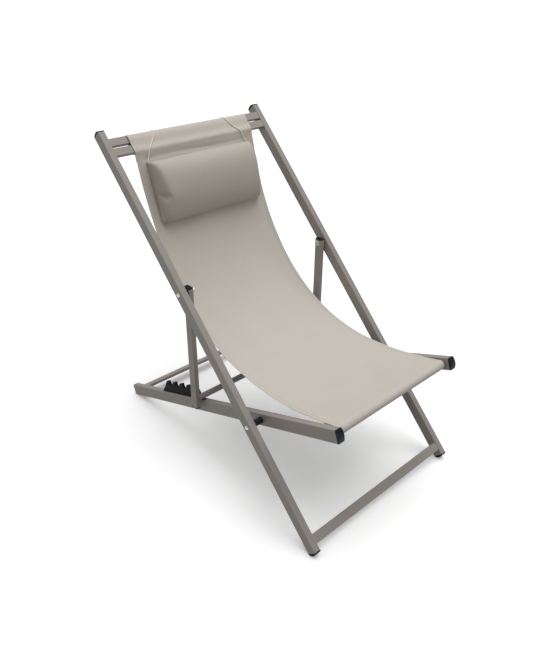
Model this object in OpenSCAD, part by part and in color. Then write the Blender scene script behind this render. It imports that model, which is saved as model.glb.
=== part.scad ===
// Folding sling deck chair with a notched recline prop and a strapped head pillow.
// X runs across the chair, the sitter faces -Y, Z is up and the floor is Z = 0.

/* [Frame] */
// Overall width across the two back rails
overall_w = 580; // [500:5:680]
// Angle of the long back rails above the floor
back_angle = 46.3; // [40:0.1:54]
// Length of a back rail below the seat pivot, foot cap flange included
back_below = 364; // [320:1:400]
// Length of a back rail's tube above the seat pivot
back_above = 888; // [800:1:940]
// Length of a seat rail in front of the seat pivot
seat_front = 277; // [220:1:300]
// Length of a seat rail behind the seat pivot, plug flange included
seat_rear = 715; // [660:1:760]

/* [Tubes] */
// Back rail depth, seen from the side
back_d = 32; // [28:0.5:36]
// Back rail width
back_w = 20; // [16:0.5:24]
// Seat rail depth, seen from the side
seat_d = 36; // [32:0.5:38]
// Seat rail width
seat_w = 20; // [16:0.5:22]
// Prop rail depth, seen from the side
prop_d = 26; // [22:0.5:30]
// Prop rail width
prop_w = 15; // [12:0.5:18]
// Tube wall
wall = 1.5; // [1.2:0.1:2]
// Outer corner radius of the rectangular tubes
corner_r = 2; // [1.5:0.1:3]
// Side gap between a back rail and its prop rail
gap_prop = 6; // [4:0.5:8]
// Side gap between a prop rail and its seat rail
gap_seat = 10; // [6:0.5:12]

/* [Cross bars] */
// Face width of the top bars and the foot bar
bar_w = 24.5; // [20:0.5:28]
// Thickness of the top bars and the foot bar
bar_t = 12; // [10:0.5:14]
// How far a bar's front face lies behind the rail's front face
bar_inset = 1.5; // [1:0.1:3]
// From the rail's top end to the upper top bar
top_bar_drop = 23; // [18:0.5:30]
// Gap between the two top bars
top_bar_gap = 6; // [4:0.5:10]
// From the foot of a back rail to the foot bar, cap flange included
foot_bar_lift = 19; // [12:0.5:30]
// Face width of the rear bar along the seat rails
rear_bar_w = 34; // [26:0.5:40]
// Rear bar thickness
rear_bar_t = 10; // [8:0.5:14]
// From the seat rail's rear end to the rear bar
rear_bar_in = 18; // [12:0.5:40]
// From the seat rail's top face down to the rear bar
rear_bar_drop = 9; // [4:0.5:14]
// Front tube diameter
front_tube_d = 25; // [22:0.5:26]
// From the seat rail's front end to the front tube's centre
front_tube_in = 24.5; // [20:0.5:34]

/* [Prop] */
// Distance from the seat pivot up to the prop pivot
prop_at = 394.5; // [370:0.5:420]
// Prop rail tube above the prop pivot
prop_over = 10; // [9:0.5:20]
// Prop rail tube below the cross tube's centre
prop_under = 25; // [18:0.5:30]
// Prop cross tube diameter
prop_tube_d = 18; // [16:0.5:19]
// From the seat pivot back to the front face of the rack
rack_at = 288.5; // [270:0.5:320]

/* [Rack] */
// Distance from one tooth to the next
rack_pitch = 40.5; // [38:0.5:42]
// Number of teeth
rack_n = 5; // [3:1:6]
// Height of a tooth tip above the rail
rack_h = 42; // [38:0.5:48]
// Height of a notch floor above the rail
rack_floor = 25; // [20:0.5:28]
// Rack thickness across the chair
rack_t = 7; // [6:0.5:10]
// Strip of rail top left free outside the rack
rack_strip = 5; // [3:0.5:8]

/* [Soft parts] */
// Sling width
sling_w = 428; // [380:1:434]
// Sling fabric thickness
sling_t = 1.2; // [0.8:0.1:1.6]
// Slope of the sling where it leaves the top bars
sling_fall = 77.5; // [74:0.5:84]
// Slope of the sling where it reaches the front tube
sling_rise = 16; // [12:0.5:20]
// Pillow width
pillow_w = 370; // [340:1:400]
// Pillow depth above the sling
pillow_d = 54; // [40:1:60]
// Strap cord diameter
cord_d = 3; // [2:0.1:3.6]

/* [Hidden] */
$fn = 64;

// clearances
running = 0.3;
bolt_play = 0.06;
thread_play = 0.02;
plug_play = 0.15;
strap_gap = 0.5;
strap_t = 0.0315;
beyond = 1;

// end caps and plugs
flange = 3;
dome = 5;
plug_depth = 14;
short_plug = 4;
foot_wear = 1;

// pivot hardware: 8 mm bolts with their washers, nuts and spacers
bolt_d = 8;
head_d = 13;
head_h = 4.5;
bolt_tail = 0.5;
nut_d = 14.5;
nut_h = 6.5;
washer_d = 17;
washer_t = 1.5;
spacer_d = 18;

// rack details
rack_toe_t = 2;
rack_toe_l = 20;
rack_front_h = 22;
rack_lean = 10;
tooth_l = 21;
tooth_fall = 3;
mouth_flare = 3;
heel_l = 16;
heel_fall = 18;
tail_l = 37;
tail_t = 6;
notch_in = 4;
notch_play = 0.6;
peg_d = 6;
peg_depth = 9;
peg_front = 12;
peg_rear = 30;

// side view angles and the height of the seat pivot
inner_r = max(corner_r - wall, 0.3);
pivot_z = back_below * sin(back_angle) + back_d / 2 * cos(back_angle) - foot_wear;
rear_diag = sqrt(pow(seat_rear, 2) + pow(seat_d / 2, 2));
seat_angle = asin((pivot_z + foot_wear) / rear_diag) - atan(seat_d / 2 / seat_rear);
seat_dir = 180 - seat_angle;

// lateral stack, measured from the middle plane
back_x = overall_w / 2 - back_w;
prop_x = back_x - gap_prop - prop_w;
seat_x = prop_x - gap_seat - seat_w;
spacer_l = back_x - seat_x - seat_w;
rack_x = seat_x + seat_w - rack_strip - rack_t;
seat_nut_x = seat_x - running - washer_t;
prop_nut_x = prop_x - running - washer_t;

// side view directions as (y, z) pairs: up the back rail, forward along the seat rail, and their normals
ub = [cos(back_angle), sin(back_angle)];
nb = [-sin(back_angle), cos(back_angle)];
us = [-cos(seat_angle), sin(seat_angle)];
ns = [sin(seat_angle), cos(seat_angle)];

// side view places, measured from the seat pivot
pivot = [0, 0];
prop_p = ub * prop_at;
prop_r = prop_tube_d / 2;
prop_t = us * (-rack_at + running + prop_r) + ns * (seat_d / 2 + rack_toe_t + running + prop_r);
prop_v = prop_p - prop_t;
prop_len = norm(prop_v);
prop_angle = atan2(prop_v[1], prop_v[0]);
front_p = us * (seat_front - front_tube_in);

// puts the middle of the footprint on Y = 0
function ball(d, bulge) = (pow(d / 2, 2) + pow(bulge, 2)) / 2 / bulge;
low_y = -(seat_front + flange + dome - ball(seat_d, dome)) * cos(seat_angle) - ball(seat_d, dome);
high_y = seat_rear * cos(seat_angle) + seat_d / 2 * sin(seat_angle);
pivot_y = -(low_y + high_y) / 2;

// top bars, measured along the back rail and up from its middle line
bar_n1 = back_d / 2 - bar_inset;
bar_n0 = bar_n1 - bar_t;
bar_top = back_above - top_bar_drop;
bar_mid = bar_top - bar_w;
bar_low = bar_top - 2 * bar_w - top_bar_gap;
foot_bar_k = -back_below + foot_bar_lift;

// sling: the middle of the fabric in the side view, a free curve between two pockets
half_t = sling_t / 2;
off = half_t + running;
lap = 16;
lap_off = sling_t + 2 * running;
lap_end = 320;
steps = 24;
pull_top = 0.345;
pull_front = 0.575;
bend_r = corner_r + off;
wrap_r = front_tube_d / 2 + off;
fall_dir = [-cos(sling_fall), -sin(sling_fall)];
rise_dir = [cos(sling_rise), -sin(sling_rise)];
leave = ub * (bar_low + corner_r) + nb * (bar_n1 - corner_r)
  + bend_r * [-sin(sling_fall), cos(sling_fall)];
land = front_p + wrap_r * [sin(sling_rise), cos(sling_rise)];
span = norm(leave - land);
h1 = leave + pull_top * span * fall_dir;
h2 = land + pull_front * span * rise_dir;

function unit(v) = v / norm(v);
function side(v) = [v[1], -v[0]];
function bez(t) = pow(1 - t, 3) * leave + 3 * pow(1 - t, 2) * t * h1
  + 3 * (1 - t) * pow(t, 2) * h2 + pow(t, 3) * land;
function slope(t) = unit(pow(1 - t, 2) * (h1 - leave) + 2 * (1 - t) * t * (h2 - h1)
  + pow(t, 2) * (land - h2));
function front_side(t) = side(slope(t));
function on_sling(t, gap) = bez(t) + front_side(t) * gap;
function arc(c, r, a0, a1, n) = [for (i = [0 : n]) let (a = a0 + (a1 - a0) * i / n)
  c + r * [cos(a), sin(a)]];

// arcs round the corners of the two top bars, at a distance r from the centres of their corners
function corner_c(k, n) = ub * k + nb * n;
front_low_c = corner_c(bar_low + corner_r, bar_n1 - corner_r);
front_top_c = corner_c(bar_top - corner_r, bar_n1 - corner_r);
rear_top_c = corner_c(bar_top - corner_r, bar_n0 + corner_r);
rear_low_c = corner_c(bar_low + corner_r, bar_n0 + corner_r);

// laps that close the two pockets, one fabric and its gaps behind the front layer
turn_b0 = leave - front_side(0) * lap_off;
turn_b = turn_b0 + fall_dir * (bar_low - off - turn_b0 * ub) / (fall_dir * ub);
lap_p = wrap_r * [cos(lap_end), sin(lap_end)];
lap_d = [-sin(lap_end), cos(lap_end)];
land_n = [sin(sling_rise), cos(sling_rise)];
turn_f = front_p + lap_p + lap_d * (wrap_r - lap_off - lap_p * land_n) / (lap_d * land_n);

sling_path = concat(
  [for (t = [0.03, 0.012]) on_sling(t, -lap_off)],
  [turn_b],
  arc(rear_low_c, bend_r, back_angle + 180, back_angle + 270, 4),
  arc(rear_top_c, bend_r, back_angle - 90, back_angle, 4),
  arc(front_top_c, bend_r, back_angle, back_angle + 90, 4),
  arc(front_low_c, bend_r, back_angle + 90, sling_fall + 90, 2),
  [for (i = [1 : steps - 1]) bez(i / steps)],
  arc(front_p, wrap_r, 90 - sling_rise, lap_end, 16),
  [turn_f, turn_f + lap * rise_dir]);

function tang(p, i) = unit(p[min(i + 1, len(p) - 1)] - p[max(i - 1, 0)]);
function band(p, w) = concat(
  [for (i = [0 : len(p) - 1]) p[i] + side(tang(p, i)) * w],
  [for (i = [len(p) - 1 : -1 : 0]) p[i] - side(tang(p, i)) * w]);

// head pillow: where it starts and stops along the sling, and how boxy its back is
pillow_t0 = 0.035;
pillow_t1 = 0.22;
pillow_n = 16;
pillow_power = 0.45;
// how far its fullest place lies above the middle: 1 is the middle itself
pillow_skew = 0.72;
pillow_base = [for (i = [0 : pillow_n]) on_sling(pillow_t0 + (pillow_t1 - pillow_t0) * i / pillow_n, off)];
pillow_dir = unit(pillow_base[pillow_n] - pillow_base[0]);
pillow_l = norm(pillow_base[pillow_n] - pillow_base[0]);
pillow_dome = [for (i = [1 : pillow_n - 1]) let (v = (1 - cos(180 * i / pillow_n)) / 2)
  pillow_base[0] + pillow_dir * pillow_l * v
    + side(pillow_dir) * pillow_d * pow(sin(180 * pow(v, pillow_skew)), pillow_power)];

// strap path: up the sling from the pillow, over the top bars and down behind them
strap_off = half_t + strap_gap + cord_d / 2;
strap_r = bend_r + strap_off;
strap_n = bar_n1 + off + strap_off;
strap_y = concat(
  [on_sling(strap_t, strap_off)],
  arc(front_low_c, strap_r, sling_fall + 90, back_angle + 90, 2),
  [ub * (bar_low + 30) + nb * strap_n],
  arc(front_top_c, strap_r, back_angle + 90, back_angle, 3),
  arc(rear_top_c, strap_r, back_angle, back_angle - 90, 3),
  [ub * (bar_mid - top_bar_gap) + nb * (bar_n0 - off - strap_off)]);
strap_x = [181, 174, 173, 172, 148, 129, 128, 127, 127, 126, 126, 126, 126, 124];

// a side view shape, as (y, z) about the seat pivot, from x0 to x1
module slab(x0, x1) {
  translate([x0, pivot_y, pivot_z])
    rotate([90, 0, 90])
      linear_extrude(x1 - x0) children();
}

// a cross section, as (x, depth), run along a side view direction a from k0 to k1, centred on x
module run(p, a, k0, k1, x) {
  translate([x, pivot_y + p[0], pivot_z + p[1]])
    rotate([a - 90, 0, 0])
      translate([0, 0, k0])
        linear_extrude(k1 - k0) children();
}

// a rectangle with round corners, centred
module section(w, d, r) {
  square([w - 2 * r, d], center = true);
  square([w, d - 2 * r], center = true);
  for (i = [-1, 1], j = [-1, 1])
    translate([i * (w / 2 - r), j * (d / 2 - r)]) circle(r = r);
}

// turns a side view shape so that +X runs along a rail; flip keeps +Y on its upper side
module along(p, a, flip = false) {
  translate(p) rotate(a) mirror([0, flip ? 1 : 0]) children();
}

// a round bar across the chair, centred on a side view point
module cross(p, d, x0, x1) {
  translate([x0, pivot_y + p[0], pivot_z + p[1]])
    rotate([0, 90, 0]) cylinder(d = d, h = x1 - x0);
}

// the children on the left side of the chair (way 1) or the right side (way -1)
module on_side(way) {
  mirror([way > 0 ? 0 : 1, 0, 0]) children();
}

// the children on both sides of the chair
module both() {
  on_side(1) children();
  on_side(-1) children();
}

module floor_cut() {
  translate([-overall_w, -1000, -100]) cube([2 * overall_w, 2000, 100]);
}

// a rectangular tube along direction a, from k0 to k1
module rail(p, a, k0, k1, w, d, x) {
  difference() {
    run(p, a, k0, k1, x) section(w, d, corner_r);
    run(p, a, k0 - beyond, k1 + beyond, x) section(w - 2 * wall, d - 2 * wall, inner_r);
  }
}

// a rectangular tube across the chair, its section's middle at k along direction a and n above it
module cross_rail(a, k, n, w, t, half, flip = false) {
  difference() {
    slab(-half, half) along(pivot, a, flip) translate([k, n]) section(w, t, corner_r);
    slab(-half - beyond, half + beyond) along(pivot, a, flip) translate([k, n])
      section(w - 2 * wall, t - 2 * wall, inner_r);
  }
}

// the part of an end plug that fits inside its tube; way is 1 at the tube's high end, -1 at its low end
module spigot(p, a, k, way, w, d, x, depth) {
  shrink = 2 * (wall + plug_play);
  run(p, a, min(k - way * depth, k + way * beyond), max(k - way * depth, k + way * beyond), x)
    section(w - shrink, d - shrink, inner_r);
}

// a flat end plug
module plug(p, a, k, way, w, d, x, depth) {
  spigot(p, a, k, way, w, d, x, depth);
  run(p, a, min(k, k + way * flange), max(k, k + way * flange), x) section(w, d, corner_r);
}

// an end cap whose outer end is an arc in the side view
module domed_cap(p, a, k, way, w, d, x) {
  far = k + way * (flange + dome);
  spigot(p, a, k, way, w, d, x, plug_depth);
  intersection() {
    run(p, a, min(k, far), max(k, far), x) section(w, d, corner_r);
    slab(x - w / 2 - beyond, x + w / 2 + beyond) along(p, a)
      translate([far - way * ball(d, dome), 0]) circle(r = ball(d, dome), $fn = 128);
  }
}

// back frame
module back_rail(way) {
  color("dimgray") on_side(way) difference() {
    rail(pivot, back_angle, -back_below + flange, back_above, back_w, back_d, back_x + back_w / 2);
    for (p = [pivot, prop_p])
      cross(p, bolt_d + 2 * bolt_play, back_x - beyond, back_x + back_w + beyond);
  }
}

module back_rail_right() {
  back_rail(-1);
}

module back_rail_left() {
  back_rail(1);
}

module back_bar(k) {
  color("dimgray")
    cross_rail(back_angle, k + bar_w / 2, (bar_n0 + bar_n1) / 2, bar_w, bar_t, back_x);
}

module top_bar_upper() {
  back_bar(bar_mid);
}

module top_bar_lower() {
  back_bar(bar_low);
}

module foot_bar() {
  back_bar(foot_bar_k);
}

module back_top_caps() {
  color("#22262c") both()
    domed_cap(pivot, back_angle, back_above, 1, back_w, back_d, back_x + back_w / 2);
}

module back_foot_caps() {
  color("#22262c") both() difference() {
    domed_cap(pivot, back_angle, -back_below + flange, -1, back_w, back_d, back_x + back_w / 2);
    floor_cut();
  }
}

// seat frame
module seat_rail(way) {
  color("dimgray") on_side(way) difference() {
    rail(pivot, seat_dir, -seat_rear + flange, seat_front, seat_w, seat_d, seat_x + seat_w / 2);
    cross(pivot, bolt_d + 2 * bolt_play, seat_x - beyond, seat_x + seat_w + beyond);
    rack_pegs(peg_d + 2 * plug_play, running);
  }
}

module seat_rail_right() {
  seat_rail(-1);
}

module seat_rail_left() {
  seat_rail(1);
}

module seat_front_tube() {
  color("dimgray") difference() {
    cross(front_p, front_tube_d, -seat_x, seat_x);
    cross(front_p, front_tube_d - 2 * wall, -seat_x - beyond, seat_x + beyond);
  }
}

module seat_rear_bar() {
  color("dimgray") cross_rail(seat_dir, -seat_rear + rear_bar_in + rear_bar_w / 2,
    seat_d / 2 - rear_bar_drop - rear_bar_t / 2, rear_bar_w, rear_bar_t, seat_x, true);
}

module seat_front_caps() {
  color("#22262c") both()
    domed_cap(pivot, seat_dir, seat_front, 1, seat_w, seat_d, seat_x + seat_w / 2);
}

module seat_rear_plugs() {
  color("#22262c") both() difference() {
    plug(pivot, seat_dir, -seat_rear + flange, -1, seat_w, seat_d, seat_x + seat_w / 2, plug_depth);
    floor_cut();
  }
}

// toothed racks on the seat rails
notch_r = prop_r + notch_play;
rack_l = (rack_n - 1) * rack_pitch;

// side outline, +X forward along the rail from the rack's front face, +Y up from the rail's top face
module rack_outline() {
  difference() {
    polygon([[rack_toe_l, 0], [rack_toe_l, rack_toe_t], [0, rack_toe_t], [0, rack_front_h],
      [-rack_lean, rack_h], [-rack_l, rack_h], [-rack_l - tooth_l, rack_h - tooth_fall],
      [-rack_l - tooth_l - heel_l, rack_h - tooth_fall - heel_fall],
      [-rack_l - tooth_l - tail_l, tail_t], [-rack_l - tooth_l - tail_l, 0]]);
    for (i = [1 : rack_n - 1])
      translate([-i * rack_pitch, 0]) notch();
  }
}

// one notch: round floor, rear wall that leans under the next tip, and the sloping top in front of it
module notch() {
  floor_y = rack_floor + notch_r;
  over = rack_h + beyond;
  translate([notch_in, floor_y]) circle(r = notch_r);
  polygon([[notch_in - notch_r, floor_y], [notch_in + notch_r, floor_y],
    [notch_in + notch_r + mouth_flare, over], [beyond, over], [0, rack_h]]);
  polygon([[notch_in + notch_r, over], [notch_in + notch_r, rack_h - 2 * tooth_fall],
    [rack_pitch - tooth_l, rack_h - tooth_fall], [rack_pitch, rack_h], [rack_pitch, over]]);
}

// two pegs that hold a rack in its rail
module rack_pegs(d, extra) {
  for (k = [-rack_at - peg_front, -rack_at - rack_l - peg_rear]) {
    p = us * k + ns * (seat_d / 2 - peg_depth);
    translate([rack_x + rack_t / 2, pivot_y + p[0], pivot_z + p[1]])
      rotate([-seat_angle, 0, 0])
        translate([0, 0, -extra]) cylinder(d = d, h = peg_depth + extra + beyond);
  }
}

module notch_rack(way) {
  color("#1c2024") on_side(way) union() {
    slab(rack_x, rack_x + rack_t) along(pivot, seat_dir, true)
      translate([-rack_at, seat_d / 2]) rack_outline();
    rack_pegs(peg_d, 0);
  }
}

module notch_rack_right() {
  notch_rack(-1);
}

module notch_rack_left() {
  notch_rack(1);
}

// prop frame
module prop_rail(way) {
  color("dimgray") on_side(way) difference() {
    rail(prop_p, prop_angle, -prop_len - prop_under, prop_over, prop_w, prop_d, prop_x + prop_w / 2);
    cross(prop_p, bolt_d + 2 * bolt_play, prop_x - beyond, prop_x + prop_w + beyond);
  }
}

module prop_rail_right() {
  prop_rail(-1);
}

module prop_rail_left() {
  prop_rail(1);
}

module prop_cross_tube() {
  color("dimgray") difference() {
    cross(prop_t, prop_tube_d, -prop_x, prop_x);
    cross(prop_t, prop_tube_d - 2 * wall, -prop_x - beyond, prop_x + beyond);
  }
}

module prop_top_caps() {
  color("#22262c") both()
    plug(prop_p, prop_angle, prop_over, 1, prop_w, prop_d, prop_x + prop_w / 2, short_plug);
}

module prop_foot_caps() {
  color("#22262c") both() plug(prop_p, prop_angle, -prop_len - prop_under, -1,
    prop_w, prop_d, prop_x + prop_w / 2, plug_depth);
}

// pivot hardware: a button-headed bolt from the outer face of the back rail in to x = tip
module bolt(p, tip) {
  face = back_x + back_w;
  r = ball(head_d, head_h);
  cross(p, bolt_d, tip, face + beyond);
  intersection() {
    cross(p, head_d, face, face + head_h + beyond);
    translate([face + head_h - r, pivot_y + p[0], pivot_z + p[1]])
      rotate([0, 90, 0]) sphere(r = r);
  }
}

module ring(p, d, x0, x1) {
  difference() {
    cross(p, d, x0, x1);
    cross(p, bolt_d + 2 * bolt_play, x0 - beyond, x1 + beyond);
  }
}

module nut(p, x1) {
  difference() {
    translate([x1 - nut_h, pivot_y + p[0], pivot_z + p[1]])
      rotate([0, 90, 0]) cylinder(d = nut_d, h = nut_h, $fn = 6);
    cross(p, bolt_d + 2 * thread_play, x1 - nut_h - beyond, x1 + beyond);
  }
}

module seat_pivot_bolts() {
  color("silver") both() bolt(pivot, seat_nut_x - nut_h + bolt_tail);
}

module seat_pivot_spacers() {
  color("#22262c") both() ring(pivot, spacer_d, back_x - spacer_l + running, back_x);
}

module seat_pivot_washers() {
  color("silver") both() ring(pivot, washer_d, seat_nut_x, seat_nut_x + washer_t);
}

module seat_pivot_nuts() {
  color("silver") both() nut(pivot, seat_nut_x);
}

module prop_pivot_bolts() {
  color("silver") both() bolt(prop_p, prop_nut_x - nut_h + bolt_tail);
}

module prop_pivot_spacers() {
  color("#22262c") both() ring(prop_p, washer_d, back_x - gap_prop + running, back_x);
}

module prop_pivot_washers() {
  color("silver") both() ring(prop_p, washer_d, prop_nut_x, prop_nut_x + washer_t);
}

module prop_pivot_nuts() {
  color("silver") both() nut(prop_p, prop_nut_x);
}

// soft parts
module sling() {
  color("#c8c0b4") slab(-sling_w / 2, sling_w / 2) polygon(band(sling_path, half_t));
}

module head_pillow() {
  color("#b8b0a4") slab(-pillow_w / 2, pillow_w / 2)
    polygon(concat([for (i = [pillow_n : -1 : 0]) pillow_base[i]], pillow_dome));
}

module strap_bead(i) {
  translate([strap_x[i], strap_y[i][0] + pivot_y, strap_y[i][1] + pivot_z])
    sphere(d = cord_d, $fn = 12);
}

module pillow_straps() {
  color("#d8d2c8") both()
    for (i = [0 : len(strap_y) - 2])
      hull() {
        strap_bead(i);
        strap_bead(i + 1);
      }
}

back_rail_right();
back_rail_left();
top_bar_upper();
top_bar_lower();
foot_bar();
back_top_caps();
back_foot_caps();
seat_rail_right();
seat_rail_left();
seat_front_tube();
seat_rear_bar();
seat_front_caps();
seat_rear_plugs();
notch_rack_right();
notch_rack_left();
prop_rail_right();
prop_rail_left();
prop_cross_tube();
prop_top_caps();
prop_foot_caps();
seat_pivot_bolts();
seat_pivot_spacers();
seat_pivot_washers();
seat_pivot_nuts();
prop_pivot_bolts();
prop_pivot_spacers();
prop_pivot_washers();
prop_pivot_nuts();
sling();
head_pillow();
pillow_straps();
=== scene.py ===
import math

import bmesh
import bpy
import numpy as np
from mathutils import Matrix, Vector
from mathutils.bvhtree import BVHTree


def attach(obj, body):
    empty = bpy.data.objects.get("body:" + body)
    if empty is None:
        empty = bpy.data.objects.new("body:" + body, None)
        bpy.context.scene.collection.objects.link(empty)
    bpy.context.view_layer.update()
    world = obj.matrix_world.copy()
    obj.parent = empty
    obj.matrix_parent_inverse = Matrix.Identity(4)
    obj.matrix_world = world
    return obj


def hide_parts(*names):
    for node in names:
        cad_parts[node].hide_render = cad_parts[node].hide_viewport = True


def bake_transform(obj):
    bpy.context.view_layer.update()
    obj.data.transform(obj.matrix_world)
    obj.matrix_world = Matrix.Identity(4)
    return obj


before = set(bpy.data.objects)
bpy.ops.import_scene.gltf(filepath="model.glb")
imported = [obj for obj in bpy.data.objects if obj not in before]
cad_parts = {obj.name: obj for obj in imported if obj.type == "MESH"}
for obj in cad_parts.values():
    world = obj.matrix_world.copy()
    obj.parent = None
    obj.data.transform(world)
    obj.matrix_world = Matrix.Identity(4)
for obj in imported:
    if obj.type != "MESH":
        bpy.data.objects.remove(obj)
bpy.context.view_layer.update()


# ---------------------------------------------------------------- camera
# A normal lens a little under two metres from the chair, at standing height,
# looking down on the sitter's right front corner. Lengths in millimetres.
MM = 0.001
camera_azimuth, camera_elevation = math.radians(-42.0), math.radians(30.36)
camera_distance = 1884.0 * MM
camera_lens_mm, sensor_mm = 34.24, 36.0
camera_shift = (0.0235, 0.0003)
camera_target = Vector((-39.4, 25.7, 369.7)) * MM
camera_back = Vector((
    math.sin(camera_azimuth) * math.cos(camera_elevation),
    -math.cos(camera_azimuth) * math.cos(camera_elevation),
    math.sin(camera_elevation),
))
camera_data = bpy.data.cameras.new("studio_camera")
camera_data.sensor_width = sensor_mm
camera_data.lens = camera_lens_mm
camera_data.shift_x, camera_data.shift_y = camera_shift
camera = bpy.data.objects.new("studio_camera", camera_data)
camera.location = camera_target + camera_back * camera_distance
camera.rotation_mode = "QUATERNION"
camera.rotation_quaternion = (-camera_back).to_track_quat("-Z", "Y")
bpy.context.scene.collection.objects.link(camera)
bpy.context.scene.camera = camera


# ---------------------------------------------------------------- studio
# A seamless white floor under an overcast sky: a very soft sun overhead, an even
# pale surround and one weak lamp by the head end. The floor keeps the soft shadow,
# and looks darker to the chair than to the camera, as dull ground would.
def linear(code):
    """An sRGB hex colour as linear RGBA: below 0.04045 a straight line, above it a 2.4 power."""
    parts = np.array([int(code[i:i + 2], 16) for i in (1, 3, 5)]) / 255.0
    low = parts / 12.92
    high = ((parts + 0.055) / 1.055) ** 2.4
    return (*[float(v) for v in np.where(parts <= 0.04045, low, high)], 1.0)


def add_node(tree, kind, settings=None, sockets=None):
    """Adds one shader node: settings are its properties, and sockets are its inputs,
    each given as a value or as an output to link."""
    made = tree.nodes.new(kind)
    for name, value in (settings or {}).items():
        setattr(made, name, value)
    for name, value in (sockets or {}).items():
        if isinstance(value, bpy.types.NodeSocket):
            tree.links.new(value, made.inputs[name])
        else:
            made.inputs[name].default_value = value
    return made


def new_material(name):
    """An empty node material and its tree, with only the output node in it."""
    material = bpy.data.materials.new(name)
    material.use_nodes = True
    tree = material.node_tree
    tree.nodes.clear()
    return material, tree, tree.nodes.new("ShaderNodeOutputMaterial")


def mesh_piece(name, vertices, faces, smooth=True):
    """A mesh object from vertex and face arrays, with its place in its mesh."""
    data = bpy.data.meshes.new(name)
    faces = faces.tolist() if hasattr(faces, "tolist") else faces
    data.from_pydata(vertices.reshape(-1, 3), [], faces)
    data.update()
    data.polygons.foreach_set("use_smooth", np.full(len(data.polygons), smooth))
    piece = bpy.data.objects.new(name, data)
    bpy.context.scene.collection.objects.link(piece)
    return piece


floor_half = 40.0
floor_bounce, floor_glow = "#707070", "#787878"
floor = mesh_piece(
    "floor",
    np.array([[-1, -1, 0], [1, -1, 0], [1, 1, 0], [-1, 1, 0]]) * floor_half,
    np.array([[0, 1, 2, 3]]), smooth=False)
floor_paint, tree, out = new_material("studio_floor_paint")
path = add_node(tree, "ShaderNodeLightPath")
seen = add_node(tree, "ShaderNodeMath", {"operation": "MAXIMUM"},
                {0: path.outputs["Is Camera Ray"], 1: path.outputs["Is Glossy Ray"]})
shade = add_node(tree, "ShaderNodeMix", {"data_type": "RGBA"},
                 {"Factor": seen.outputs[0], "A": linear(floor_bounce), "B": linear("#ffffff")})
matt = add_node(tree, "ShaderNodeBsdfDiffuse", {}, {"Color": shade.outputs["Result"]})
glow = add_node(tree, "ShaderNodeEmission", {},
                {"Strength": seen.outputs[0], "Color": linear(floor_glow)})
both = add_node(tree, "ShaderNodeAddShader", {}, {0: matt.outputs[0], 1: glow.outputs[0]})
tree.links.new(both.outputs[0], out.inputs["Surface"])
floor.data.materials.append(floor_paint)


def soft_lamp(name, place, target, size, power):
    """A square area lamp at a place in metres, turned towards a target."""
    data = bpy.data.lights.new(name, "AREA")
    data.shape = "SQUARE"
    data.size = size
    data.energy = power
    lamp = bpy.data.objects.new(name, data)
    lamp.location = place
    lamp.rotation_mode = "QUATERNION"
    lamp.rotation_quaternion = (Vector(target) - Vector(place)).to_track_quat("-Z", "Y")
    bpy.context.scene.collection.objects.link(lamp)


soft_lamp("head_lamp", place=(0.40, 0.25, 1.65), target=(0.1, 0.42, 0.85), size=0.5, power=0.8)
sun_power, sun_width_deg, sun_way = 1.6, 55, (-0.15, 0.06, -1.0)
surround_power = 0.50
sun_data = bpy.data.lights.new("overhead_sky", "SUN")
sun_data.energy = sun_power
sun_data.angle = math.radians(sun_width_deg)
sun = bpy.data.objects.new("overhead_sky", sun_data)
sun.rotation_mode = "QUATERNION"
sun.rotation_quaternion = Vector(sun_way).to_track_quat("-Z", "Y")
bpy.context.scene.collection.objects.link(sun)

world = bpy.data.worlds.new("studio_surround")
world.use_nodes = True
tree = world.node_tree
tree.nodes.clear()
path = add_node(tree, "ShaderNodeLightPath")
seen = add_node(tree, "ShaderNodeMath", {"operation": "MAXIMUM"},
                {0: path.outputs["Is Camera Ray"], 1: path.outputs["Is Transmission Ray"]})
strength = add_node(tree, "ShaderNodeMapRange", {},
                    {"Value": seen.outputs[0], "To Min": surround_power, "To Max": 1.0})
back = add_node(tree, "ShaderNodeBackground", {},
                {"Color": linear("#ffffff"), "Strength": strength.outputs[0]})
add_node(tree, "ShaderNodeOutputWorld", {}, {"Surface": back.outputs[0]})
bpy.context.scene.world = world
bpy.context.scene.view_settings.view_transform = "Standard"


# ---------------------------------------------------------------- tube frame
# Rectangular and round aluminium tube, cut, welded and baked with a satin
# taupe polyester powder coat. The CAD nodes are the tubes themselves.
def paint(material, names):
    """Puts one material on every slot of the named CAD nodes."""
    for name in names:
        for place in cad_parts[name].material_slots:
            place.material = material


frame_tubes = [
    "back_rail_right", "back_rail_left", "top_bar_upper", "top_bar_lower", "foot_bar",
    "seat_rail_right", "seat_rail_left", "seat_front_tube", "seat_rear_bar",
    "prop_rail_right", "prop_rail_left", "prop_cross_tube",
]

# Powder coat: polyester film about 0.08 mm thick, moulded by its own flow into a
# faint orange peel. It gives the eye a soft, slightly grainy satin taupe.
powder_coat, tree, out = new_material("satin_taupe_powder_coat")
coat_light, coat_dark = linear("#9d9790"), linear("#8e8780")
peel_mm, grain_mm, cloud_mm = 2.2, 0.9, 120.0
spot = add_node(tree, "ShaderNodeTexCoord")
cloud = add_node(tree, "ShaderNodeTexNoise", {},
                 {"Vector": spot.outputs["Object"], "Scale": 1000 / cloud_mm, "Detail": 3.0})
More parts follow.
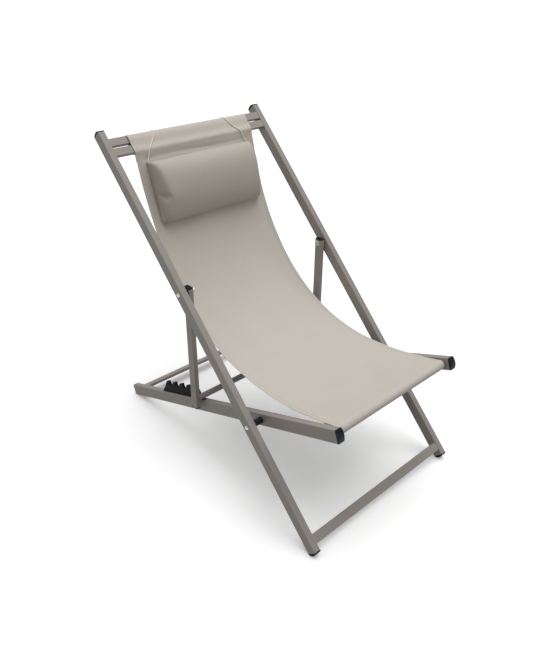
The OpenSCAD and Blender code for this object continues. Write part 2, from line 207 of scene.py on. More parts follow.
# grains are drawn about three times coarser than real, so that they show
grain = add_node(tree, "ShaderNodeTexNoise", {},
                 {"Vector": spot.outputs["Object"], "Scale": 1000 / (2 * grain_mm), "Detail": 2.0})
blend_grain = add_node(tree, "ShaderNodeMix", {"data_type": "FLOAT"},
                       {"Factor": 0.45, "A": cloud.outputs["Fac"], "B": grain.outputs["Fac"]})
tint = add_node(tree, "ShaderNodeMix", {"data_type": "RGBA"},
                {"Factor": blend_grain.outputs["Result"], "A": coat_dark, "B": coat_light})
gloss = add_node(tree, "ShaderNodeMapRange", {},
                 {"Value": cloud.outputs["Fac"], "To Min": 0.46, "To Max": 0.58})
peel = add_node(tree, "ShaderNodeTexNoise", {},
                {"Vector": spot.outputs["Object"], "Scale": 1000 / peel_mm, "Detail": 1.0})
dents = add_node(tree, "ShaderNodeBump", {},
                 {"Height": peel.outputs["Fac"], "Strength": 0.12, "Distance": 0.0004})
film = add_node(tree, "ShaderNodeBsdfPrincipled", {}, {
    "Base Color": tint.outputs["Result"], "Roughness": gloss.outputs[0],
    "Normal": dents.outputs[0], "IOR": 1.5})
tree.links.new(film.outputs[0], out.inputs["Surface"])
paint(powder_coat, frame_tubes)


# ---------------------------------------------------------------- caps, spacers and racks
# Blue-black injection-moulded nylon: domed caps pushed into the tube ends, turned
# spacers on the pivots, and the toothed racks pegged to the seat rails.
def moulded_nylon(name, light, dark, shine):
    """Nylon with a spark-eroded mould texture and broad patches where handling has polished
    it: noise on Object coordinates drives the tint, the roughness and a fine bump. shine is
    the specular level."""
    material, tree, out = new_material(name)
    spark_mm, handled_mm = 0.8, 50 / 3
    spot = add_node(tree, "ShaderNodeTexCoord")
    # the mould texture is drawn twice as coarse as real so that it shows
    spark = add_node(tree, "ShaderNodeTexNoise", {}, {
        "Vector": spot.outputs["Object"], "Scale": 1000 / (2 * spark_mm), "Detail": 2.0})
    handled = add_node(tree, "ShaderNodeTexNoise", {}, {
        "Vector": spot.outputs["Object"], "Scale": 1000 / handled_mm, "Detail": 3.0})
    tint = add_node(tree, "ShaderNodeMix", {"data_type": "RGBA"},
                    {"Factor": handled.outputs["Fac"], "A": dark, "B": light})
    gloss = add_node(tree, "ShaderNodeMapRange", {},
                     {"Value": handled.outputs["Fac"], "To Min": 0.42, "To Max": 0.58})
    dents = add_node(tree, "ShaderNodeBump", {},
                     {"Height": spark.outputs["Fac"], "Strength": 0.15, "Distance": 0.0002})
    film = add_node(tree, "ShaderNodeBsdfPrincipled", {}, {
        "Base Color": tint.outputs["Result"], "Roughness": gloss.outputs[0],
        "Normal": dents.outputs[0], "IOR": 1.53, "Specular IOR Level": shine})
    tree.links.new(film.outputs[0], out.inputs["Surface"])
    return material


# Caps and spacers have a soft cool sheen on blue-black; the racks are a matt near-black.
paint(moulded_nylon("moulded_black_nylon", linear("#19222e"), linear("#0e131a"), 0.15), [
    "back_top_caps", "back_foot_caps", "seat_front_caps", "seat_rear_plugs", "prop_top_caps",
    "prop_foot_caps", "seat_pivot_spacers", "prop_pivot_spacers",
])
paint(moulded_nylon("moulded_matt_nylon", linear("#0b0d10"), linear("#060709"), 0.05), [
    "notch_rack_right", "notch_rack_left",
])


# ---------------------------------------------------------------- pivot hardware
# Zinc-plated steel: cold-headed button bolts, stamped washers and hexagon nuts,
# passivated clear, so they read as a pale cool grey with a soft cloudy gloss.
zinc_plate, tree, out = new_material("clear_passivated_zinc")
zinc_light, zinc_dark = linear("#dcdcd8"), linear("#b9bab8")
cloud_mm = 3.0
spot = add_node(tree, "ShaderNodeTexCoord")
cloud = add_node(tree, "ShaderNodeTexNoise", {},
                 {"Vector": spot.outputs["Object"], "Scale": 1000 / cloud_mm, "Detail": 4.0})
tint = add_node(tree, "ShaderNodeMix", {"data_type": "RGBA"},
                {"Factor": cloud.outputs["Fac"], "A": zinc_dark, "B": zinc_light})
gloss = add_node(tree, "ShaderNodeMapRange", {},
                 {"Value": cloud.outputs["Fac"], "To Min": 0.26, "To Max": 0.40})
film = add_node(tree, "ShaderNodeBsdfPrincipled", {}, {
    "Base Color": tint.outputs["Result"], "Roughness": gloss.outputs[0], "Metallic": 1.0})
tree.links.new(film.outputs[0], out.inputs["Surface"])
paint(zinc_plate, [
    "seat_pivot_bolts", "seat_pivot_washers", "seat_pivot_nuts", "prop_pivot_bolts",
    "prop_pivot_washers", "prop_pivot_nuts",
])


# ---------------------------------------------------------------- sling
# One length of coated polyester mesh weave. Its top end is folded round both
# top bars into a pocket, its front end round the front tube, each lapped back
# and sewn with a row of stitches. The sides are turned under and hemmed.
# Side view points are (y, z) pairs in millimetres about the seat pivot.
seat_pivot = np.array([-202.652, 273.214])
back_angle, seat_angle = math.radians(46.3), math.radians(21.102)
up_back = np.array([math.cos(back_angle), math.sin(back_angle)])
off_back = np.array([-math.sin(back_angle), math.cos(back_angle)])
up_seat = np.array([-math.cos(seat_angle), math.sin(seat_angle)])
sling_half, sling_thick, air = 214.0, 1.2, 0.3
cling = sling_thick / 2 + air
lap_gap = sling_thick + 2 * air
# the pair of top bars as one block: its faces in front of and behind the rails' middle
# line, its top, middle and bottom up the rails from the pivot, and its round corners
bar_front, bar_back = 14.5, 2.5
bar_top, bar_mid, bar_low = 865.0, 840.5, 810.0
corner = 2.0
# how steeply the cloth leaves the bars and how flat it comes to the front tube
fall_deg, rise_deg, back_deg = 77.5, 16.0, 46.3
fall, rise = math.radians(fall_deg), math.radians(rise_deg)
tube_along_seat, tube_radius = 252.5, 12.5
tube_centre = up_seat * tube_along_seat
tube_reach = tube_radius + cling
fall_way = np.array([-math.cos(fall), -math.sin(fall)])
rise_way = np.array([math.cos(rise), -math.sin(rise)])
bend_reach = corner + cling


def bar_corner(k, n):
    """Centre of a bar's round corner, k millimetres up the back rail and n in front of its
    middle line."""
    return up_back * k + off_back * n


low_front = bar_corner(bar_low + corner, bar_front - corner)
top_front = bar_corner(bar_top - corner, bar_front - corner)
top_back = bar_corner(bar_top - corner, bar_back + corner)
low_back = bar_corner(bar_low + corner, bar_back + corner)
leave = low_front + bend_reach * np.array([-math.sin(fall), math.cos(fall)])
land = tube_centre + tube_reach * np.array([math.sin(rise), math.cos(rise)])
reach = np.linalg.norm(leave - land)
top_share, front_share = 0.345, 0.575
pull_top = leave + top_share * reach * fall_way
pull_front = land + front_share * reach * rise_way


def hang(t):
    """Side view of the free cloth: the cubic Bezier curve from the top bars (t = 0) to the
    front tube (t = 1)."""
    t = np.atleast_1d(np.asarray(t, float))[:, None]
    return ((1 - t) ** 3 * leave + 3 * (1 - t) ** 2 * t * pull_top
            + 3 * (1 - t) * t ** 2 * pull_front + t ** 3 * land)


def hang_front(t):
    """Unit normal of that curve on the sitter's side: its tangent turned a quarter turn."""
    t = np.atleast_1d(np.asarray(t, float))[:, None]
    d = ((1 - t) ** 2 * (pull_top - leave) + 2 * (1 - t) * t * (pull_front - pull_top)
         + t ** 2 * (land - pull_front))
    d = d / np.linalg.norm(d, axis=1)[:, None]
    return np.stack([d[:, 1], -d[:, 0]], 1)


def round_corner(centre, radius, start, stop, steps):
    """Points on a circle about a centre, from one angle to another, in degrees."""
    a = np.radians(np.linspace(start, stop, steps + 1))[:, None]
    return centre + radius * np.hstack([np.cos(a), np.sin(a)])


def even_line(points, spacing):
    """The same polyline with points at an even spacing along its length."""
    run = np.concatenate([[0], np.cumsum(np.linalg.norm(np.diff(points, axis=0), axis=1))])
    count = max(2, int(round(run[-1] / spacing)) + 1)
    at = np.linspace(0, run[-1], count)
    return np.stack([np.interp(at, run, points[:, k]) for k in range(points.shape[1])], 1), at


# both laps lie behind the free cloth: the upper one starts a little way down it, and the
# front one runs back from the tube, where it leaves at lap_end
lap_start_t = [0.03, 0.012]
front_lap_mm, lap_end_deg = 16.0, 320
turn_from = leave - hang_front(0)[0] * lap_gap
turn_top = turn_from + fall_way * (bar_low - cling - turn_from @ up_back) / (fall_way @ up_back)
lap_end = math.radians(lap_end_deg)
lap_p = tube_reach * np.array([math.cos(lap_end), math.sin(lap_end)])
lap_d = np.array([-math.sin(lap_end), math.cos(lap_end)])
land_n = np.array([math.sin(rise), math.cos(rise)])
turn_f = tube_centre + lap_p + lap_d * (tube_reach - lap_gap - lap_p @ land_n) / (lap_d @ land_n)
# The cloth hangs loosely in front of the bars: it stands off the upper one, comes
# back against the lower one and rolls over its lower edge. Pairs are millimetres
# below the bars' top and out from where the cloth would touch them.
loose = np.array([
    [3.5, 1.5], [8, 2.9], [14, 3.6], [20, 3.1], [27, 1.7],
    [34, 0.6], [40, 0.4], [46, 1.1], [51, 1.8], [55.5, 1.3]])
pocket_front = up_back * (bar_top - loose[:, :1]) + off_back * (bar_front + cling + loose[:, 1:])
sling_line = np.vstack([
    hang(lap_start_t) - hang_front(lap_start_t) * lap_gap,
    [turn_top],
    round_corner(low_back, bend_reach, back_deg + 180, back_deg + 270, 4),
    round_corner(top_back, bend_reach, back_deg - 90, back_deg, 4),
    round_corner(top_front, bend_reach, back_deg, back_deg + 90, 4),
    pocket_front,
    hang(np.linspace(0, 1, 161)[1:-1]),
    round_corner(tube_centre, tube_reach, 90 - rise_deg, lap_end_deg, 32),
    [turn_f, turn_f + front_lap_mm * rise_way],
])
row_mm = 2.6
sling_rows, sling_run = even_line(sling_line, row_mm)
# rows on both sides of the lower bar's edge are averaged with their neighbours
leave_row = np.argmin(np.linalg.norm(sling_rows - leave, axis=1))
first, last = leave_row - 18, leave_row + 12
for _ in range(4):
    sling_rows[first:last] = (sling_rows[first - 1:last - 1] + 2 * sling_rows[first:last]
                              + sling_rows[first + 1:last + 1]) / 4
sling_length = sling_run[-1]

# across the cloth: close columns at the hems, wider ones in the middle
hem_mm = 13.0
edge = np.array([0.0, 0.8, 2.0, 5.0, 9.0,
                 hem_mm - 1.0, hem_mm, hem_mm + 1.2, hem_mm + 4.0, hem_mm + 12.0])
middle = np.linspace(-sling_half + hem_mm + 24.0, sling_half - hem_mm - 24.0, 31)
across = np.concatenate([-sling_half + edge, middle, (sling_half - edge)[::-1]])

lap_long = np.linalg.norm(sling_line[0] - leave)
top_still, front_still, fade_mm = 190.0, 150.0, 250.0
sag_mm, narrow = 3.0, 0.014
hem_rise, hem_step = 0.5, 1.4
fold_mm, fold_at, fold_width = 3.4, 23.0, 7.5
pucker_mm, pucker_at, pucker_width = 0.5, 14.0, 16.0


def sling_surface(x, run, rows):
    """Cloth point for each place across and along: the side view line carried straight
    across. Between the pockets it is drawn in by 1.4%, sags by up to 3 mm in its middle
    and has two broad waves under a millimetre high."""
    step = np.gradient(rows, axis=0)
    step = step / np.linalg.norm(step, axis=1)[:, None]
    front = np.stack([step[:, 1], -step[:, 0]], 1)
    free = (np.clip((run - top_still) / fade_mm, 0, 1)
            * np.clip((sling_length - front_still - run) / fade_mm, 0, 1))
    free = free * free * (3 - 2 * free)
    xx, rr = np.meshgrid(x, run)
    yy = np.repeat(rows[:, :1], len(x), 1)
    zz = np.repeat(rows[:, 1:], len(x), 1)
    wave = free[:, None] * (0.9 * np.sin(xx / 61.0 + rr / 140.0)
                            + 0.5 * np.sin(xx / 27.0 - rr / 90.0))
    sag = free[:, None] * -sag_mm * (1 - (xx / sling_half) ** 2)
    # a fold runs along the top of the pillow, where its straps draw the cloth in
    # (the lap behind it folds with it: its rows run the other way, so its front points back)
    below = np.where(rr < lap_long, lap_long - rr, rr - run[leave_row])
    wander = 2.5 * np.sin(xx / 57.0)
    fold = np.where(rr < lap_long, fold_mm, -fold_mm)
    fold = fold * np.exp(-((below - fold_at - wander) / fold_width) ** 2)
    fold *= (0.8 + 0.2 * np.sin(xx / 41.0 + 1.0)) * np.clip((200.0 - np.abs(xx)) / 24.0, 0, 1)
    # and faint slanting puckers cross the loose pocket
    pucker = pucker_mm * np.sin(xx / 19.0 + rr / 11.0 + 1.7 * np.sin(xx / 73.0))
    pucker *= np.exp(-((rr - run[leave_row] + pucker_at) / pucker_width) ** 2)
    # the hem's second layer lifts the edge
    hem = hem_rise * np.clip((sling_half - np.abs(xx) - hem_mm) / -hem_step, 0, 1)
    hem = hem * (free[:, None] > 0)
    lift = wave + sag + hem + fold + pucker
    xx = xx * (1 - narrow * free[:, None])
    yy = yy + lift * front[:, :1]
    zz = zz + lift * front[:, 1:]
    return np.stack([xx, yy + seat_pivot[0], zz + seat_pivot[1]], 2) * MM


def grid_faces(rows, columns, closed=False):
    """Quads of a grid of points; closed joins the last column to the first."""
    r = np.arange(rows - 1)[:, None]
    c = np.arange(columns if closed else columns - 1)[None, :]
    n = (c + 1) % columns
    quads = np.stack(
        [r * columns + c, r * columns + n, (r + 1) * columns + n, (r + 1) * columns + c], 2)
    return quads.reshape(-1, 4)


sling_points = sling_surface(across, sling_run, sling_rows)
sling = mesh_piece("sling_cloth", sling_points, grid_faces(len(sling_run), len(across)))


def lay_uv(piece, u, v):
    """A UV map in millimetres: u across and v along the cloth, one pair for each vertex."""
    layer = piece.data.uv_layers.new(name="cloth_mm")
    index = np.zeros(len(piece.data.loops), np.int64)
    piece.data.loops.foreach_get("vertex_index", index)
    pair = np.stack([np.asarray(u, float)[index], np.asarray(v, float)[index]], 1)
    layer.data.foreach_set("uv", pair.ravel())


uu, vv = np.meshgrid(across, sling_run)
lay_uv(sling, uu.ravel(), vv.ravel())

# Coated polyester mesh weave: 1 mm yarns dipped in PVC and woven two over two. It
# gives the eye a matt, slightly ribbed warm grey with pin-point gaps.
cloth_cloud_mm, fleck_mm = 90.0, 4.0
stitch_long, stitch_every = 3.5, 5.0
thread_colour = "#aea69b"


def mesh_weave(name, light, dark, yarn_mm, stitch_rows=()):
    """A woven mesh: two sine ribs crossed over and under on the piece's own cloth_mm map,
    with broad colour clouds. Each of stitch_rows is (axis, place, width) in millimetres: a
    row of dashes that stand on the cloth."""
    material, tree, out = new_material(name)
    uv = add_node(tree, "ShaderNodeUVMap", {"uv_map": "cloth_mm"})
    part = add_node(tree, "ShaderNodeSeparateXYZ", {}, {"Vector": uv.outputs[0]})
    turn = 2 * math.pi / yarn_mm

    def ribs(source):
        """The sine of a map coordinate, one turn to a yarn."""
        angle = add_node(tree, "ShaderNodeMath", {"operation": "MULTIPLY"}, {0: source, 1: turn})
        wave = add_node(tree, "ShaderNodeMath", {"operation": "SINE"}, {0: angle.outputs[0]})
        return wave.outputs[0]

    warp, weft = ribs(part.outputs["X"]), ribs(part.outputs["Y"])
    slow = add_node(tree, "ShaderNodeMath", {"operation": "MULTIPLY"}, {0: warp, 1: weft})
    over = add_node(tree, "ShaderNodeMath", {"operation": "MULTIPLY_ADD"},
                    {0: slow.outputs[0], 1: 0.5, 2: 0.5})
    cloud = add_node(tree, "ShaderNodeTexNoise", {"noise_dimensions": "2D"},
                     {"Vector": uv.outputs[0], "Scale": 1 / cloth_cloud_mm, "Detail": 3.0})
    fleck = add_node(tree, "ShaderNodeTexNoise", {"noise_dimensions": "2D"},
                     {"Vector": uv.outputs[0], "Scale": 1 / fleck_mm, "Detail": 2.0})
    # slightly thick and thin warp yarns leave long faint streaks down the cloth
    drawn = add_node(tree, "ShaderNodeVectorMath", {"operation": "MULTIPLY"},
                     {0: uv.outputs[0], 1: (1 / 5.0, 1 / 160.0, 1.0)})
    streak = add_node(tree, "ShaderNodeTexNoise", {"noise_dimensions": "2D"},
                      {"Vector": drawn.outputs[0], "Scale": 1.0, "Detail": 2.0})
    grain = add_node(tree, "ShaderNodeMix", {"data_type": "FLOAT"},
                     {"Factor": 0.55, "A": fleck.outputs["Fac"], "B": streak.outputs["Fac"]})
    soft = add_node(tree, "ShaderNodeMix", {"data_type": "FLOAT"},
                    {"Factor": 0.6, "A": cloud.outputs["Fac"], "B": grain.outputs["Result"]})
    mixed = add_node(tree, "ShaderNodeMix", {"data_type": "FLOAT"},
                     {"Factor": 0.45, "A": soft.outputs["Result"], "B": over.outputs[0]})
    tint = add_node(tree, "ShaderNodeMix", {"data_type": "RGBA"},
                    {"Factor": mixed.outputs["Result"], "A": dark, "B": light})
    height, colour = over.outputs[0], tint.outputs["Result"]
    for axis, place, width in stitch_rows:
        row, along = (part.outputs["X"], part.outputs["Y"]) if axis == "u" else (
            part.outputs["Y"], part.outputs["X"])
        if axis == "u":
            row = add_node(tree, "ShaderNodeMath", {"operation": "ABSOLUTE"}, {0: row}).outputs[0]
        near = add_node(tree, "ShaderNodeMath", {"operation": "COMPARE"},
                        {0: row, 1: place, 2: width / 2})
        beat = add_node(tree, "ShaderNodeMath", {"operation": "PINGPONG"},
                        {0: along, 1: stitch_every / 2})
        dash = add_node(tree, "ShaderNodeMath", {"operation": "GREATER_THAN"},
                        {0: beat.outputs[0], 1: (stitch_every - stitch_long) / 2})
        stitch = add_node(tree, "ShaderNodeMath", {"operation": "MULTIPLY"},
                          {0: near.outputs[0], 1: dash.outputs[0]})
        thread = add_node(tree, "ShaderNodeMix", {"data_type": "RGBA"},
                          {"Factor": stitch.outputs[0], "A": colour, "B": linear(thread_colour)})
        raised = add_node(tree, "ShaderNodeMath", {"operation": "ADD"},
                          {0: height, 1: stitch.outputs[0]})
        colour, height = thread.outputs["Result"], raised.outputs[0]
    dents = add_node(tree, "ShaderNodeBump", {},
                     {"Height": height, "Strength": 0.35, "Distance": 0.0003})
    cloth = add_node(tree, "ShaderNodeBsdfPrincipled", {}, {
        "Base Color": colour, "Roughness": 0.78, "Normal": dents.outputs[0], "IOR": 1.45,
        "Sheen Weight": 0.12, "Sheen Roughness": 0.5})
    tree.links.new(cloth.outputs[0], out.inputs["Surface"])
    return material


# yarns are drawn 2.4 mm apart, about twice as coarse as real, so that they show
drawn_yarn_mm, stitch_wide = 2.4, 1.4
sling_weave = mesh_weave(
    "sling_mesh_weave", linear("#cfc8be"), linear("#bcb4a9"), drawn_yarn_mm,
    [("u", sling_half - hem_mm + 2.5, stitch_wide), ("v", 12.0, stitch_wide),
     ("v", sling_length - 8.0, stitch_wide)])
sling.data.materials.append(sling_weave)
thicken = sling.modifiers.new("cloth_thickness", "SOLIDIFY")
thicken.thickness = sling_thick * MM
thicken.offset = 0.0
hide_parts("sling")


# ---------------------------------------------------------------- head pillow
# A half-round bolster: fibre fill in a cover of the same mesh weave. One front panel
# is bowed over the fill and sewn all round to a flat back panel that lies on the
# sling, with a short dart at each lower corner where the ends are taken in.
pillow_half, pillow_deep = 187.0, 52.0
pillow_power, pillow_skew = 0.45, 0.72
pillow_start, pillow_stop = 0.035, 0.214
pillow_belly = 22.0
pillow_back = sling_thick / 2 + 1.6
end_power, end_pull = 30, 0.022


def pillow_side(v):
    """Side view of the back panel and of the full front panel at shares v down the pillow:
    a chord of the hanging cloth, and over it deep * sin(pi * down ** skew) ** power on the
    sitter's side, fullest above the middle, where down = (1 - cos(pi * v)) / 2 is the share
    of the chord. The fill settles: each point is let down by belly * down ** 2 times its
    share of the full depth, over the lower seam."""
    down = (1 - np.cos(math.pi * v)) / 2
    t = pillow_start + (pillow_stop - pillow_start) * down
    flat = hang(t) + hang_front(t) * pillow_back
    span = [pillow_start, pillow_stop]
    ends = hang(span) + hang_front(span) * pillow_back
    chord = ends[1] - ends[0]
    length = np.linalg.norm(chord)
    out_ = np.array([chord[1], -chord[0]]) / length
    rise_mm = np.clip(np.sin(math.pi * down ** pillow_skew), 0, 1)[:, None]
    rise_mm = pillow_deep * rise_mm ** pillow_power
    settle = pillow_belly * down[:, None] ** 2 * rise_mm / pillow_deep
    return flat, ends[0] + chord * (down[:, None] + settle / length) + out_ * rise_mm


def end_share(u):
    """How full the front panel is at a share u of the half width: sqrt(1 - |u| ** 30),
    nothing at the end seams."""
    return np.sqrt(np.clip(1 - np.abs(u) ** end_power, 0, 1))


def spread(profile, count):
    """Shares from 0 to 1 that cut a profile, given as points at even shares, into equal lengths."""
    run = np.concatenate([[0], np.cumsum(np.linalg.norm(np.diff(profile, axis=0), axis=1))])
    return np.interp(np.linspace(0, run[-1], count), run, np.linspace(0, 1, len(profile)))


fine_share = np.linspace(0, 1, 801)
down_shares = spread(pillow_side(fine_share)[1], 42)
fine_u = 2 * fine_share - 1
front_outline = np.column_stack([fine_u * pillow_half, end_share(fine_u) * pillow_deep * 0.8])
across_shares = spread(front_outline, 90) * 2 - 1
flat, full = pillow_side(down_shares)
share = end_share(across_shares)[None, :, None]
front_yz = flat[:, None, :] + share * (full - flat)[:, None, :]
# the ends pull in by 4 mm half way down; the back panel lies along the cloth
pull_in = np.sin(math.pi * down_shares)[:, None] * np.abs(across_shares)[None, :] ** 3
pull_in = 1 - end_pull * pull_in
front_x = pillow_half * across_shares[None, :] * pull_in
front = np.concatenate([front_x[:, :, None], front_yz], 2)
back = np.concatenate([front_x[:, :, None], np.repeat(flat[:, None, :], len(across_shares), 1)], 2)
rows_n, cols_n = front_x.shape
front_ids = np.arange(rows_n * cols_n).reshape(rows_n, cols_n)
inner = np.zeros((rows_n, cols_n), bool)
inner[1:-1, 1:-1] = True
back_ids = front_ids.copy()
back_ids[inner] = rows_n * cols_n + np.arange(inner.sum())


def quads_of(ids):
    """Quads of a grid of vertex numbers."""
    return np.stack([ids[:-1, :-1], ids[:-1, 1:], ids[1:, 1:], ids[1:, :-1]], 2).reshape(-1, 4)


pillow_points = np.vstack([front.reshape(-1, 3), back[inner]])
pillow_points[:, 1:] += seat_pivot
pillow = mesh_piece("head_pillow_cover", pillow_points * MM,
                    np.vstack([quads_of(front_ids), quads_of(back_ids)[:, ::-1]]))


def mend_normals(piece):
    """Turns every face of a closed mesh outwards."""
    work = bmesh.new()
    work.from_mesh(piece.data)
    bmesh.ops.recalc_face_normals(work, faces=work.faces)
    if work.calc_volume(signed=True) < 0:
        bmesh.ops.reverse_faces(work, faces=work.faces)
    work.to_mesh(piece.data)
    work.free()


def bake(piece):
    """Applies the piece's modifiers to its mesh and removes them."""
    graph = bpy.context.evaluated_depsgraph_get()
    graph.update()
    made = bpy.data.meshes.new_from_object(piece.evaluated_get(graph))
    piece.modifiers.clear()
    old, piece.data = piece.data, made
    bpy.data.meshes.remove(old)


def points_of(data):
    """All vertex places of a mesh as one array."""
    co = np.zeros(len(data.vertices) * 3)
    data.vertices.foreach_get("co", co)
    return co.reshape(-1, 3)


# the weave runs straight across the chair and down the front panel
steps = np.linalg.norm(np.diff(full, axis=0), axis=1)
down_run = np.concatenate([[0], np.cumsum(steps)])
middle_row = front[rows_n // 2]
across_run = np.concatenate([[0], np.cumsum(np.linalg.norm(np.diff(middle_row, axis=0), axis=1))])
across_map = np.tile(across_run - across_run[-1] / 2, (rows_n, 1))
down_map = np.repeat(down_run, cols_n).reshape(rows_n, cols_n)
map_u = np.concatenate([across_map.ravel(), front_x[inner]])
map_v = np.concatenate([down_map.ravel(), down_map[inner]])
lay_uv(pillow, map_u, map_v)
mend_normals(pillow)
start = points_of(pillow.data)

held = pillow.vertex_groups.new(name="back_panel")
held.add([int(i) for i in back_ids.ravel()], 1.0, "REPLACE")
cloth = pillow.modifiers.new("fill", "CLOTH")
cloth.settings.vertex_group_mass = "back_panel"
cloth.settings.quality = 6
cloth.settings.mass = 0.25
cloth.settings.tension_stiffness = 18
cloth.settings.compression_stiffness = 12
cloth.settings.bending_stiffness = 1.0
cloth.settings.use_pressure = True
cloth.settings.uniform_pressure_force = 4.0
cloth.settings.effector_weights.gravity = 0.0
for step in range(1, 21):
    bpy.context.scene.frame_set(step)
bake(pillow)
bpy.context.scene.frame_set(1)


def over_sling(points, clear):
    """Lifts points off the cloth: each is kept at least clear millimetres in front of the
    sling's curve."""
    t = np.linspace(0.0, 0.45, 400)
    line, side = hang(t) + seat_pivot, hang_front(t)
    yz = points[:, 1:] / MM
    near = np.argmin(((yz[:, None, :] - line[None, :, :]) ** 2).sum(2), 1)
    height = ((yz - line[near]) * side[near]).sum(1)
    push = np.clip(clear - height, 0, None)
    points[:, 1:] += push[:, None] * side[near] * MM
    return points


filled = points_of(pillow.data)
# the fill swells the cover by at most 8 mm
swell_mm = 8.0
moved = filled - start
far = np.linalg.norm(moved, axis=1)
moved *= np.minimum(1.0, swell_mm * MM / np.maximum(far, 1e-9))[:, None]
filled = over_sling(start + moved, pillow_back - 0.6)

# the darts: a seam from each lower corner, a quarter of the way up the front panel
dart_steps, dart_deep, dart_wide = 40, 2.2, 4.5
dart_line = np.column_stack([np.linspace(1.0, 0.93, dart_steps),
                             np.linspace(1.0, 0.74, dart_steps)])
grid = filled[:rows_n * cols_n].reshape(rows_n, cols_n, 3)


def on_panel(u, v):
    """Places on the filled front panel at shares u across and v down: the four nearest grid
    points mixed by how near they are."""
    c = np.interp(u, across_shares, np.arange(cols_n))
    r = np.interp(v, down_shares, np.arange(rows_n))
    c0, r0 = np.minimum(c.astype(int), cols_n - 2), np.minimum(r.astype(int), rows_n - 2)
    fc, fr = (c - c0)[:, None], (r - r0)[:, None]
    return ((grid[r0, c0] * (1 - fc) + grid[r0, c0 + 1] * fc) * (1 - fr)
            + (grid[r0 + 1, c0] * (1 - fc) + grid[r0 + 1, c0 + 1] * fc) * fr)


pillow.data.vertices.foreach_set("co", filled.ravel())
pillow.data.update()
smooth = pillow.modifiers.new("soft_corners", "SUBSURF")
smooth.levels = smooth.render_levels = 1
bake(pillow)
pillow.data.polygons.foreach_set("use_smooth", np.full(len(pillow.data.polygons), True))
cover = points_of(pillow.data)
normals = np.zeros(len(cover) * 3)
pillow.data.vertex_normals.foreach_get("vector", normals)
normals = normals.reshape(-1, 3)
darts = []
for way in (-1.0, 1.0):
    dart = on_panel(way * dart_line[:, 0], dart_line[:, 1])
    apart = np.linalg.norm(cover[:, None, :] - dart[None, :, :], axis=2)
    nearest = np.argmin(apart, 1)
    depth_mm = dart_deep * np.exp(-(apart.min(1) / (dart_wide * MM)) ** 2)
    depth_mm = depth_mm * (1 - nearest / dart_steps)
    cover -= normals * depth_mm[:, None] * MM
    darts.append(dart)
cover = over_sling(cover, pillow_back - 0.8)
pillow.data.vertices.foreach_set("co", cover.ravel())
pillow.data.update()

pillow_weave = mesh_weave(
    "pillow_mesh_weave", linear("#c2bab0"), linear("#ada59a"), drawn_yarn_mm)
pillow.data.materials.clear()
pillow.data.materials.append(pillow_weave)
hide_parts("head_pillow")
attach(pillow, "back_frame")


def tube_along(name, line, radius, sides=8):
    """A round cord with flat ends: circles of one radius set square to a line of points, in
    metres. It carries the cloth_mm map, round it and along it."""
    step = np.gradient(line, axis=0)
    step = step / np.linalg.norm(step, axis=1)[:, None]
    guide = np.cross(step, np.array([0.31, 0.87, 0.39]))
    guide = guide / np.linalg.norm(guide, axis=1)[:, None]
    other = np.cross(step, guide)
    a = np.linspace(0, 2 * math.pi, sides, endpoint=False)
    ringed = (line[:, None, :] + radius * (np.cos(a)[None, :, None] * guide[:, None, :]
                                           + np.sin(a)[None, :, None] * other[:, None, :]))
    faces = grid_faces(len(line), sides, closed=True).tolist()
    last = (len(line) - 1) * sides
    faces += [list(range(sides))[::-1], [last + i for i in range(sides)]]
    piece = mesh_piece(name, ringed, faces)
    mend_normals(piece)
    along = np.concatenate([[0], np.cumsum(np.linalg.norm(np.diff(line, axis=0), axis=1))]) / MM
    lay_uv(piece, np.tile(a * radius / MM, len(line)), np.repeat(along, sides))
    return piece


# The sewn ridge that each dart leaves on the front panel.
ridge_mm, ridge_lift = 0.9, 0.3
surface = BVHTree.FromPolygons([Vector(p) for p in cover],
                               [tuple(p.vertices) for p in pillow.data.polygons])
for side_name, dart in zip(("right", "left"), darts):
    sewn = np.array([np.array(at) + np.array(normal) * ridge_lift * MM
                     for at, normal, _, _ in (surface.find_nearest(Vector(p)) for p in dart)])
    for _ in range(3):
        sewn[1:-1] = (sewn[:-2] + sewn[1:-1] + sewn[2:]) / 3
    ridge = tube_along(f"pillow_dart_{side_name}", sewn, ridge_mm * MM)
    ridge.data.materials.append(pillow_weave)
    ridge.parent = pillow


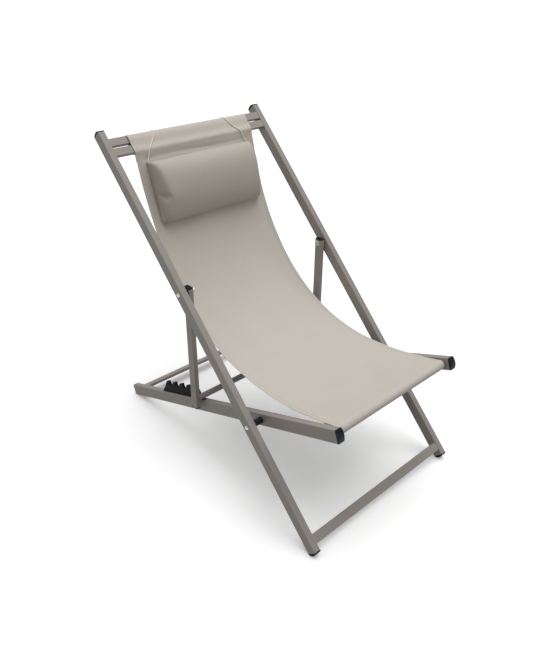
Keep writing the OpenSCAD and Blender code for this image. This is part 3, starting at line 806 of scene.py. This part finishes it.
# ---------------------------------------------------------------- pillow straps
# Two thin elastic cords sewn into the pillow's top corners. Each runs up the
# sling, over both top bars and down behind them, where it is sewn to the pocket.
cord_mm = 3.0
cord_lift = sling_thick / 2 + 0.2 + cord_mm / 2
sewn_to = up_back * (bar_mid - 6) + off_back * (bar_back - cling)
behind = np.argmin(np.linalg.norm(sling_rows - sewn_to, axis=1))
front_end = np.argmin(np.linalg.norm(sling_rows - hang(0.034)[0], axis=1))
under_cord = sling_rows[behind:front_end + 1]
tangent = np.gradient(under_cord, axis=0)
tangent = tangent / np.linalg.norm(tangent, axis=1)[:, None]
strap_side = (under_cord + np.stack([tangent[:, 1], -tangent[:, 0]], 1) * cord_lift)[::-1]
strap_run = np.concatenate([[0], np.cumsum(np.linalg.norm(np.diff(strap_side, axis=0), axis=1))])
# millimetres along each cord from the pillow's corner, and out from the chair's middle
strap_way = np.array([[0, 182], [14, 175], [34, 168], [50, 154], [66, 140],
                      [84, 130], [100, 127], [125, 126], [160, 124]])
strap_x = np.interp(strap_run, strap_way[:, 0], strap_way[:, 1])

# Braided polyester over rubber: a pale, matt cord with a fine slanting plait.
elastic_braid, tree, out = new_material("braided_elastic_cord")
cord_light, cord_dark = linear("#f4efe6"), linear("#e6dfd4")
plait_mm = 1.6
spot = add_node(tree, "ShaderNodeTexCoord")
braid = add_node(tree, "ShaderNodeTexWave", {"wave_type": "BANDS", "bands_direction": "DIAGONAL"}, {
    "Vector": spot.outputs["Object"], "Scale": 1000 / (6 * plait_mm), "Distortion": 1.0})
tint = add_node(tree, "ShaderNodeMix", {"data_type": "RGBA"},
                {"Factor": braid.outputs["Fac"], "A": cord_dark, "B": cord_light})
dents = add_node(tree, "ShaderNodeBump", {},
                 {"Height": braid.outputs["Fac"], "Strength": 0.3, "Distance": 0.0002})
yarn = add_node(tree, "ShaderNodeBsdfPrincipled", {}, {
    "Base Color": tint.outputs["Result"], "Roughness": 0.8, "Normal": dents.outputs[0]})
tree.links.new(yarn.outputs[0], out.inputs["Surface"])
for side_name, way in (("right", -1.0), ("left", 1.0)):
    route = np.column_stack([way * strap_x, strap_side + seat_pivot]) * MM
    fine, _ = even_line(route, 0.0025)
    for _ in range(6):
        fine[1:-1] = (fine[:-2] + 2 * fine[1:-1] + fine[2:]) / 4
    strap = tube_along(f"pillow_strap_{side_name}", fine, cord_mm / 2 * MM)
    strap.data.materials.append(elastic_braid)
    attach(strap, "back_frame")
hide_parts("pillow_straps")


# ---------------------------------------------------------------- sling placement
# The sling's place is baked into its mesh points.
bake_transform(sling)
